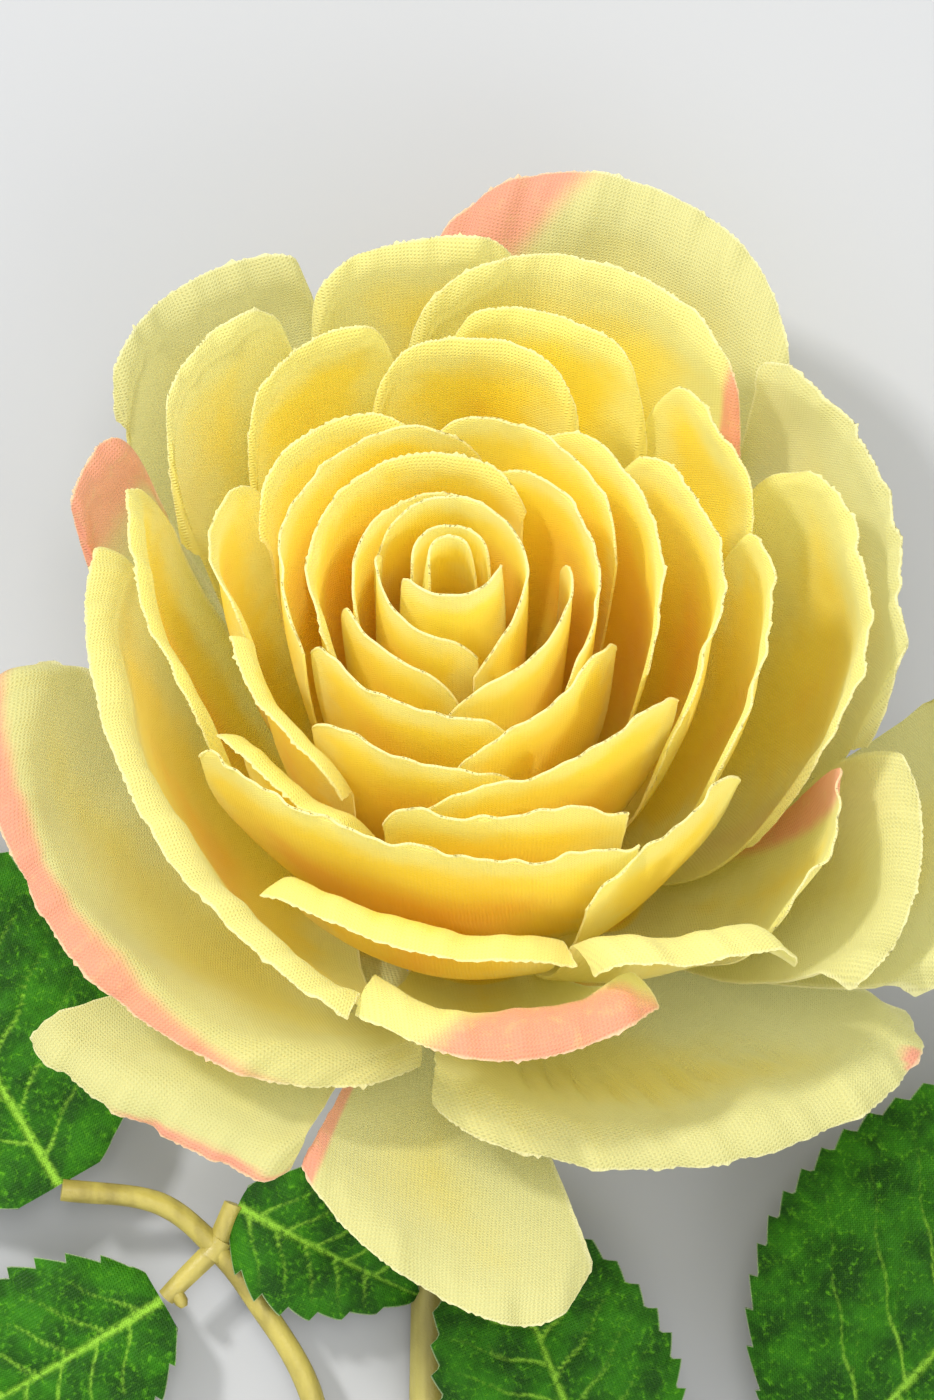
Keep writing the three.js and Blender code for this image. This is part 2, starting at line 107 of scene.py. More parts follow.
def frames_along(route):
    """At each point of a route, two directions across it that don't twist on the way."""
    ways = np.gradient(route, axis=0)
    ways /= np.linalg.norm(ways, axis=1)[:, None]
    side = np.cross(ways[0], (0, 0, 1))
    if np.linalg.norm(side) < 0.1:
        side = np.cross(ways[0], (1, 0, 0))
    sides = []
    for way in ways:
        side = side - way * (side @ way)
        side = side / np.linalg.norm(side)
        sides.append(side)
    sides = np.array(sides)
    return sides, np.cross(sides, ways)


def tube(route, radius, sides=28, seam=0.07, bore=None):
    """Vertices and faces of a moulded tube along route. radius is one number or one at each point;
    seam is how far its two seams stand up. bore, if given, sinks a hole of that radius in the end."""
    radius = np.broadcast_to(np.asarray(radius, float), len(route))
    across, over = frames_along(route)
    angle = 2 * math.pi * np.arange(sides) / sides
    ridge = 1 + seam * np.exp(-((np.abs(np.cos(angle)) - 1) / 0.035) ** 2)
    ring = np.stack([np.cos(angle) * ridge, np.sin(angle)], 1)
    rings = [
        centre + r * (ring[:, :1] * a + ring[:, 1:] * b)
        for centre, r, a, b in zip(route, radius, across, over)
    ]
    along = (route[-1] - route[-2]) / np.linalg.norm(route[-1] - route[-2])
    if bore:
        rings.append(route[-1] + bore * (ring[:, :1] * across[-1] + ring[:, 1:] * over[-1]))
        rings.append(rings[-1] - 1.2 * along)
    points = np.concatenate([[route[0]], *rings, [rings[-1].mean(0)]])
    faces = []
    for row in range(len(rings) - 1):
        for i in range(sides):
            a, b = 1 + row * sides + i, 1 + row * sides + (i + 1) % sides
            faces.append((a, b, b + sides, a + sides))
    last = 1 + (len(rings) - 1) * sides
    for i in range(sides):
        faces.append((0, 1 + (i + 1) % sides, 1 + i))
        faces.append((last + i, last + (i + 1) % sides, len(points) - 1))
    return points, faces


def joined(shells):
    """Several shells as one list of vertices and one of faces."""
    points, faces, count = [], [], 0
    for shell_points, shell_faces in shells:
        points.append(shell_points)
        faces += [tuple(count + i for i in face) for face in shell_faces]
        count += len(shell_points)
    return np.concatenate(points), faces


def build(name, points, faces, material, node, slot, sharp=50, **attributes):
    """Each attribute is a list of numbers, or of triples, one for each point."""
    mesh = bpy.data.meshes.new(name)
    mesh.from_pydata(((points + rose_shift) * MM).tolist(), [], faces)
    for key, values in attributes.items():
        values = np.asarray(values, np.float32)
        if values.ndim == 1:
            mesh.attributes.new(key, "FLOAT", "POINT").data.foreach_set("value", values)
        else:
            layer = mesh.attributes.new(key, "FLOAT_VECTOR", "POINT")
            layer.data.foreach_set("vector", values.ravel())
    mesh.shade_smooth()
    mesh.set_sharp_from_angle(angle=math.radians(sharp))
    mesh.materials.append(material)
    piece = bpy.data.objects.new(name, mesh)
    bpy.context.scene.collection.objects.link(piece)
    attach(piece, "root")
    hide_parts(node)
    return piece


def srgb(code):
    """A colour written as RRGGBB, as the linear colour that a shader takes."""
    parts = [int(code[i:i + 2], 16) / 255 for i in (0, 2, 4)]
    return (*[c / 12.92 if c <= 0.04045 else ((c + 0.055) / 1.055) ** 2.4 for c in parts], 1)


def set_input(tree, socket, value):
    if isinstance(value, bpy.types.NodeSocket):
        tree.links.new(value, socket)
    elif value is not None:
        socket.default_value = value


def add(tree, kind, *values, out=0, **settings):
    """One node's output. values go to its inputs in order: a number, a colour, another node's
    output, or None to leave it."""
    node = tree.nodes.new("ShaderNode" + kind)
    for key, value in settings.items():
        setattr(node, key, value)
    for socket, value in zip(node.inputs, values):
        set_input(tree, socket, value)
    return node.outputs[out]


def maths(tree, operation, *values):
    return add(tree, "Math", *values, operation=operation)


def ramp(tree, value, low, high, start=0.0, end=1.0):
    """value taken smoothly from start to end as it goes from low to high."""
    node = tree.nodes.new("ShaderNodeMapRange")
    node.interpolation_type = "SMOOTHSTEP"
    for socket, given in zip(node.inputs, (value, low, high, start, end)):
        set_input(tree, socket, given)
    return node.outputs[0]


def mixed(tree, share, first, second, blend_type="MIX"):
    """Two colours mixed: the first where share is 0, and the second where it is 1."""
    node = tree.nodes.new("ShaderNodeMix")
    node.data_type, node.blend_type = "RGBA", blend_type
    for index, given in ((0, share), (6, first), (7, second)):
        set_input(tree, node.inputs[index], given)
    return node.outputs[2]


def noise(tree, vector, scale, detail=2.0, roughness=0.5):
    return add(tree, "TexNoise", vector, None, scale, detail, roughness)


def named(tree, attribute, out=1):
    """An attribute of the mesh: out 1 is its vector and out 2 its number."""
    return add(tree, "Attribute", attribute_name=attribute, out=out)


def group(name, inputs, outputs):
    """An empty node group, its input and output nodes' sockets by name. inputs is {name: value}."""
    tree = bpy.data.node_groups.new(name, "ShaderNodeTree")
    kinds = {float: "NodeSocketFloat", int: "NodeSocketFloat", tuple: "NodeSocketColor",
             str: "NodeSocketVector"}
    for key, value in inputs.items():
        socket = tree.interface.new_socket(key, in_out="INPUT", socket_type=kinds[type(value)])
        if not isinstance(value, str):
            socket.default_value = value
    for key, kind in outputs.items():
        tree.interface.new_socket(key, in_out="OUTPUT", socket_type="NodeSocket" + kind)
    return tree, tree.nodes.new("NodeGroupInput").outputs, tree.nodes.new("NodeGroupOutput").inputs


def use(tree, node_group, **values):
    """A node group placed in a material, and its outputs."""
    node = tree.nodes.new("ShaderNodeGroup")
    node.node_tree = node_group
    for key, value in values.items():
        set_input(tree, node.inputs[key.replace("_", " ")], value)
    return node.outputs


def new_material(name):
    material = bpy.data.materials.new(name)
    material.use_nodes = True
    tree = material.node_tree
    shader = tree.nodes["Principled BSDF"]
    return material, tree, shader.inputs


def bumped(tree, height, distance):
    """The normal of a surface that stands up by distance, in metres, where height is 1."""
    node = tree.nodes.new("ShaderNodeBump")
    node.inputs["Strength"].default_value = 1.0
    node.inputs["Distance"].default_value = distance
    tree.links.new(height, node.inputs["Height"])
    return node.outputs[0]


# flow marks, dull patches and a streaky tint, as on cheap moulded plastic
moulding, given, result = group(
    "moulding marks",
    {"Place": "vector", "Light": srgb("A9A04A"), "Dark": srgb("7F7630")},
    {"Color": "Color", "Height": "Float", "Dull": "Float"},
)
streaks = noise(moulding, add(moulding, "VectorMath", given["Place"], (260, 60, 260),
                              operation="MULTIPLY"), 1.0, 3.0)
patches = noise(moulding, given["Place"], 420.0, 3.0)
grit = noise(moulding, given["Place"], 2600.0, 2.0)
moulding.links.new(mixed(moulding, ramp(moulding, streaks, 0.36, 0.66), given["Dark"],
                         given["Light"]), result["Color"])
moulding.links.new(maths(moulding, "MULTIPLY_ADD", patches, 0.7,
                         maths(moulding, "MULTIPLY", grit, 0.3)), result["Height"])
moulding.links.new(ramp(moulding, patches, 0.3, 0.7, 0.36, 0.6), result["Dull"])


def plastic(name, light, dark):
    material, tree, shader = new_material(name)
    place = add(tree, "TexCoord", out=3)
    marks = use(tree, moulding, Place=place, Light=srgb(light), Dark=srgb(dark))
    worn = ramp(tree, add(tree, "NewGeometry", out=7), 0.5, 0.62)    # paler along the seams
    tree.links.new(mixed(tree, maths(tree, "MULTIPLY", worn, 0.45), marks["Color"],
                         srgb("C9C27A")), shader["Base Color"])
    tree.links.new(marks["Dull"], shader["Roughness"])
    tree.links.new(bumped(tree, marks["Height"], 0.00022), shader["Normal"])
    shader["Subsurface Weight"].default_value = 0.08
    shader["Subsurface Radius"].default_value = (0.002, 0.002, 0.0008)
    return material


stem_plastic = plastic("stem plastic", "AA9F54", "8C803A")
socket_way = from_bloom([[0, 0, SOCKET_FLOOR], [0, 0, SOCKET_FLOOR - 3.5],
                         [0, 0, SOCKET_FLOOR - 8]])
stem_route = smooth_route([*socket_way, *STEM_ROUTE_TAIL])
swell = 1 + 0.012 * np.sin(np.arange(len(stem_route)) * 0.9)
swell[-1] = 0.93
stem_shells = [tube(stem_route, STEM_RADIUS * swell * 0.985, sides=40, bore=0.8)]


def on_stem(side, y):
    """Where a leaf stalk's peg leaves the stem, and its direction."""
    at = stem_route[np.abs(stem_route[:, 1] - y).argmin()]
    way = np.array([side * math.cos(PEG_WAY), math.sin(PEG_WAY), 0.12])
    return at, way / np.linalg.norm(way)


SLEEVE_RADIUS = 2.1
# how far out from the stem's axis the sleeve pushed over each peg begins
MOUTH = (STEM_RADIUS + STEM_GAP + SLEEVE_RADIUS * math.sin(PEG_WAY)) / math.cos(PEG_WAY)
PEGS = {"left": (-1, -112), "right": (1, -152)}     # side of the stem, and y
for side, y in PEGS.values():
    at, way = on_stem(side, y)
    peg = at + way * np.array([[0.0], [2.6], [3.4], [MOUTH + 5]])
    stem_shells.append(tube(peg, [1.9, 1.7, 1.05, 0.98], sides=20, seam=0))
    knuckle = at + np.array([[0, -4.5, 0], [0, -1.5, 0], [0, 1.5, 0], [0, 4.5, 0]])
    stem_shells.append(tube(smooth_route(knuckle, 4), 2.75 - 0.2 * np.abs(
        np.linspace(-1, 1, 13)) ** 2, sides=28, seam=0.04))
build("stem_tube", *joined(stem_shells), stem_plastic, "stem", "stem_plastic")

# ---- the calyx ----
# A moulded plastic cup with five sepals that bend back towards the stem, in one piece with the
# tapered peg that every petal is threaded on. The stem is pushed into its underside.
SEPAL_LENGTH, SEPAL_WIDTH, SEPAL_BEND = 17.0, 7.0, 6.0
widest = seat(78)
profile = np.array([
    (0, CALYX_FLOOR + SOCKET_DEPTH), (3.0, CALYX_FLOOR + SOCKET_DEPTH),
    (3.0, CALYX_FLOOR), (4.0, CALYX_FLOOR),
    (4.4, CALYX_FLOOR + 0.4), (5.0, CALYX_FLOOR + 2), (widest[0] * 0.82, CALYX_FLOOR + 4.95),
    (widest[0] + 0.6, CALYX_FLOOR + 8.25), (widest[0] + 0.8, widest[1] - 1.2),
    *[seat(rim) for rim in (78, 60, 44, 32, 22, 14, 8, 5, 3)], (1.9, 24), (0.9, 42), (0, 44),
])
turns = 2 * math.pi * np.arange(40) / 40
cup_points = np.array([
    (r * math.cos(a), r * math.sin(a), z) for r, z in profile for a in turns
])
cup_faces = [
    (row * 40 + i, row * 40 + (i + 1) % 40, (row + 1) * 40 + (i + 1) % 40, (row + 1) * 40 + i)
    for row in range(len(profile) - 1) for i in range(40)
]


def slab(grid, thickness, taper=None):
    """A closed sheet of that thickness around a grid of points (rows, columns, 3): its points and
    faces, front first. taper thins it, one number for each point."""
    rows, columns = grid.shape[:2]
    normal = np.cross(np.gradient(grid, axis=1), np.gradient(grid, axis=0))
    normal /= np.maximum(np.linalg.norm(normal, axis=2), 1e-9)[:, :, None]
    offset = normal * (thickness / 2) * (1 if taper is None else taper[:, :, None])
    points = np.concatenate([(grid + offset).reshape(-1, 3), (grid - offset).reshape(-1, 3)])
    at = np.arange(rows * columns).reshape(rows, columns)
    a, b, c, d = at[:-1, :-1], at[:-1, 1:], at[1:, 1:], at[1:, :-1]
    back = rows * columns
    faces = [np.stack([a, b, c, d], 2).reshape(-1, 4),
             np.stack([a, d, c, b], 2).reshape(-1, 4) + back]
    for line, turn in ((at[0], 0), (at[-1], 1), (at[:, 0], 1), (at[:, -1], 0)):
        strip = np.stack([line[:-1], line[1:], line[1:] + back, line[:-1] + back], 1)
        faces.append(strip if turn else strip[:, ::-1])
    return points, [tuple(face) for face in np.concatenate(faces).tolist()]


def both(values):
    """A grid's values for each face of the slab around it, one after the other."""
    return np.concatenate([values.ravel(), values.ravel()])


calyx_shells = [(from_bloom(cup_points), cup_faces)]
for i in range(5):
    turn = math.radians(54 + 72 * i)
    v, u = np.meshgrid(np.linspace(0, 1, 19), np.linspace(-1, 1, 13), indexing="ij")
    half = SEPAL_WIDTH / 2 * np.sqrt(np.maximum(1 - v, 0.004)) * (0.75 + 0.5 * v)
    out = widest[0] - 1.2 + SEPAL_LENGTH * v * (1 - 0.18 * v)
    drop = (CALYX_FLOOR + 6.82 - SEPAL_BEND * v * v + 0.16 * half * u * u
            - 0.35 * np.exp(-(u / 0.12) ** 2))
    blade = np.stack([out * math.cos(turn) - half * u * math.sin(turn),
                      out * math.sin(turn) + half * u * math.cos(turn), drop], 2)
    calyx_shells.append(slab(from_bloom(blade), 0.6, 1 - 0.5 * np.abs(u) ** 3))
build("calyx_cup", *joined(calyx_shells), plastic("calyx plastic", "7C9A46", "5E7A30"),
      "calyx", "stem_plastic", sharp=40)

# ---- the leaf stalks ----
# Thin moulded plastic rods with a seam down each side, a sleeve pushed over its peg on the stem,
# and a short branch to each leaflet. One branch keeps the stub where the moulding was cut off.
STALK_RADIUS = 1.35
STALKS = {
    "left": (*PEGS["left"], [(-18.6, -76, 6.5), (-25, -64.6, 7.4), (-30.9, -56.8, 8.4), (-38, -51, 9.4),
                        (-50.7, -49, 11)],
             [[(-30.9, -56.8, 8.4), (-34.6, -60.4, 8.2), (-37.4, -63.3, 8)],
              [(-30.9, -56.8, 8.4), (-29.6, -53.6, 8.8), (-28.6, -51, 9)]]),
    "right": (*PEGS["right"], [(8, -124, 6), (20, -110.5, 8), (31.7, -100, 10), (47, -85.9, 13)],
              [[(31.7, -100, 10), (26, -96, 10.4), (20.4, -91, 10.6)],
               [(31.7, -100, 10), (38, -101.6, 10), (44, -102, 9.6)]]),
}
stalk_plastic = plastic("stalk plastic", "AE9F4C", "8C7E38")
for name, (side, y, main, branches) in STALKS.items():
    at, way = on_stem(side, y)
    mouth, back = at + way * MOUTH, at + way * (MOUTH + 8)
    route = smooth_route([back - way, back, *main])
    share = np.linspace(0, 1, len(route))
    shells = [
        tube(route, STALK_RADIUS * (1.04 - 0.1 * share + 0.02 * np.sin(share * 40)), sides=24,
             seam=0.13),
        tube(smooth_route([back + way * 2.2, back, mouth + way * 0.8, mouth], 5),
             np.interp(np.linspace(0, 1, 16), [0, 0.3, 0.45, 1], [1.3, 1.6, 2.05, 2.1]),
             sides=28, seam=0.1, bore=1.2),
    ]
    for branch in branches:
        run = smooth_route(branch, 6)
        shells.append(tube(run, np.linspace(1.25, 1.05, len(run)), sides=20, seam=0.15))
    fork = np.array(branches[0][0])
    shells.append(tube(smooth_route([fork + (-0.9, -1.2, 0.1), fork, fork + (0.8, 1.2, 0.1)], 4),
                       1.52, sides=20, seam=0.05))
    if side < 0:
        end = np.array(branches[0][2])
        shells.append(tube(np.array([end + (1.2, 0.8, 0), end + (2.1, -0.6, 0),
                                     end + (2.4, -1.2, 0)]), [0.95, 0.9, 0.5], sides=14, seam=0))
    build(name + "_leaf_stalk", *joined(shells), stalk_plastic, name + "_stalk", "stem_plastic")

# ---- the leaflets ----
# Die-cut polyester cloth, printed with veins, heat-pressed so that the veins sink in and the
# ground between them puffs up, and glued to its stalk's end. The saw-toothed edge frays pale.
LEAFLETS = [
    ("left_leaflet_1", (-50.7, -49, 11), 120, 60, 40, 2, 4),
    ("left_leaflet_2", (-37.4, -63.3, 8), 211, 45, 27, 1, 5),
    ("left_leaflet_3", (-28.6, -51, 9), -27, 26, 19, 6, 3),
    ("right_leaflet_1", (47, -85.9, 13), 50, 75, 54, 8, 12),
    ("right_leaflet_2", (20.4, -91, 10.6), 112, 46, 31, 6, 6),
    ("right_leaflet_3", (44, -102, 9.6), -12, 46, 30, 1, 5),
]
TOOTH = 3.7                       # from one tooth to the next, along the leaflet

# the printed ground: mottled greens, a net of fine veins and pale specks where the print is thin
leaf_print, given, result = group(
    "leaf print",
    {"Flat": "vector", "Vein": 0.0, "Edge": 9.0},
    {"Color": "Color", "Height": "Float"},
)
mottle = noise(leaf_print, given["Flat"], 0.16, 4.0, 0.6)
fine = noise(leaf_print, given["Flat"], 1.3, 3.0, 0.6)
warped = add(leaf_print, "VectorMath", given["Flat"], add(
    leaf_print, "VectorMath", add(leaf_print, "TexNoise", given["Flat"], None, 0.35, 3.0, out=1),
    (5, 5, 0), operation="MULTIPLY"), operation="ADD")
net = add(leaf_print, "TexVoronoi", warped, None, 0.3, feature="DISTANCE_TO_EDGE")
small_net = add(leaf_print, "TexVoronoi", warped, None, 0.85, feature="DISTANCE_TO_EDGE")
netting = maths(leaf_print, "ADD", ramp(leaf_print, net, 0.0, 0.09, 0.55, 0),
                ramp(leaf_print, small_net, 0.0, 0.12, 0.3, 0))
broken = maths(leaf_print, "MULTIPLY", netting, ramp(leaf_print, fine, 0.45, 0.68))
ground = mixed(leaf_print, ramp(leaf_print, mottle, 0.35, 0.66), srgb("153E02"), srgb("2C6A05"))
ground = mixed(leaf_print, broken, ground, srgb("559614"))
ground = mixed(leaf_print, ramp(leaf_print, maths(
    leaf_print, "MULTIPLY", given["Vein"], ramp(leaf_print, fine, 0.25, 0.6, 0.45, 1.0)),
    0.1, 0.9), ground, srgb("86B834"))
ground = mixed(leaf_print, ramp(leaf_print, given["Edge"], 0.25, 0.0, 0, 0.6), ground,
               srgb("A9B58C"))
leaf_print.links.new(ground, result["Color"])
leaf_print.links.new(maths(leaf_print, "SUBTRACT", maths(leaf_print, "MULTIPLY", fine, 0.4),
                           broken), result["Height"])

# a plain weave: threads over and under at a given pitch, from a vector flat on the cloth in mm
weave, given, result = group(
    "plain weave",
    {"Flat": "vector", "Pitch": 0.42, "Wobble": 0.25},
    {"Height": "Float", "Gap": "Float"},
)
bent = add(weave, "VectorMath", given["Flat"], add(
    weave, "VectorMath", add(weave, "TexNoise", given["Flat"], None, 0.22, 2.0, out=1),
    given["Wobble"], operation="MULTIPLY"), operation="ADD")
parts = add(weave, "SeparateXYZ", bent).node.outputs


def thread(coordinate, shift):
    turn = maths(weave, "DIVIDE", maths(weave, "MULTIPLY", coordinate, 2 * math.pi), given["Pitch"])
    return maths(weave, "SINE", maths(weave, "ADD", turn, shift))


warp, weft = thread(parts["X"], 0.0), thread(parts["Y"], 0.7)
height = maths(weave, "MULTIPLY_ADD", maths(weave, "MULTIPLY", warp, weft), 0.5, maths(
    weave, "MULTIPLY_ADD", weft, 0.32, maths(weave, "MULTIPLY_ADD", warp, 0.14, 0.5)))
weave.links.new(height, result["Height"])
# Gap is high in the hollows between the threads, where the cloths darken their colour as painted shade.
weave.links.new(ramp(weave, height, 0.05, 0.75, 1.0, 0.0), result["Gap"])

leaf_cloth, tree, shader = new_material("leaf cloth")
flat_place = named(tree, "flat")
printed = use(tree, leaf_print, Flat=flat_place, Vein=named(tree, "vein", 2),
              Edge=named(tree, "edge", 2))
threads = use(tree, weave, Flat=flat_place, Pitch=0.4, Wobble=0.3)
underside = ramp(tree, named(tree, "under", 2), 0.2, 0.8, 0, 0.55)
# Painted shade: in the gaps between the threads the printed colour is darkened towards 122C02.
tree.links.new(mixed(tree, maths(tree, "MULTIPLY", threads["Gap"], 0.16), mixed(
    tree, underside, printed["Color"], srgb("5F8A48")), srgb("122C02")), shader["Base Color"])
tree.links.new(ramp(tree, noise(tree, flat_place, 0.3), 0.3, 0.7, 0.5, 0.68), shader["Roughness"])
tree.links.new(bumped(tree, maths(tree, "MULTIPLY_ADD", threads["Height"], 0.55,
                                  printed["Height"]), 0.00012), shader["Normal"])
shader["Specular IOR Level"].default_value = 0.14

for name, base, heading, length, width, tip, rise in LEAFLETS:
    along = np.array([math.cos(math.radians(heading)), math.sin(math.radians(heading)), 0])
    over = np.array([-along[1], along[0], 0])
    start = np.array(base) + along * 0.7
    rows, columns = int(length / 0.46), 2 * int(width / 1.2) + 1
    v, u = np.meshgrid(np.linspace(0, 1, rows + 1), np.linspace(-1, 1, columns), indexing="ij")
    outline = np.sin(math.pi * np.minimum(1, v * 0.94 + 0.03) ** 0.72) ** 0.85
    tooth = (v * length / TOOTH + 0.13 * np.sign(u)) % 1
    saw = np.where(tooth < 0.88, tooth / 0.88, (1 - tooth) / 0.12)      # points to the tip
    reach = width / 2 * outline + (saw - 0.55) * 1.5 * outline ** 0.5
    half = np.maximum(np.where(v > 0.03, reach, width / 2 * outline), 0.35)
    side_mm, along_mm = half * u, length * v
    # side veins leave the midrib at an angle and curve towards the tip
    veins = np.zeros_like(u)
    for flank in (-1, 1):
        count = 7 if length > 40 else 5
        for k in range(count):
            foot = length * (0.07 + 0.78 * (k + 0.35 * (flank > 0)) / count)
            curve = foot + 0.62 * np.abs(side_mm) + 0.011 * side_mm ** 2
            gap = np.abs(along_mm - curve + 0.35 * np.sin(np.abs(side_mm) * 0.9 + k)) * 0.8
            twig = np.abs(along_mm - curve - 0.7 * np.maximum(np.abs(side_mm) - 5 - k % 3, 0)) * 0.8
            fade = np.clip(1.15 - np.abs(u), 0, 1) * (side_mm * flank > 0)
            veins = np.maximum(veins, np.exp(-(gap / 0.34) ** 2) * fade)
            veins = np.maximum(veins, 0.55 * np.exp(-(twig / 0.3) ** 2) * fade)
    midrib = np.exp(-(side_mm / (0.75 - 0.4 * v)) ** 2)
    veins = np.maximum(0.75 * veins, midrib * (1 - 0.5 * v))
    puff = 0.55 * (1 - veins) * np.sin(math.pi * v) ** 0.4 * (1 - np.abs(u) ** 6)
    z = (base[2] + (tip - base[2]) * v + rise * 4 * v * (1 - v) + 0.1 * half * np.abs(u)
         - 0.012 * (half * u) ** 2 - 0.25 + puff
         + 0.5 * np.abs(u) ** 3 * np.sin(along_mm * 0.42 + 2 * np.sign(u)))
    grid = start + along * along_mm[:, :, None] + over * side_mm[:, :, None]
    grid[:, :, 2] = z
    points, faces = slab(grid, 0.32)
    leaflet = build(
        name + "_blade", points, faces, leaf_cloth, name, "leaf_cloth",
        flat=np.stack([both(side_mm), both(along_mm), 0 * both(u)], 1), vein=both(veins),
        edge=both((1 - np.abs(u)) * half), under=np.repeat([1.0, 0.0], u.size),
    )

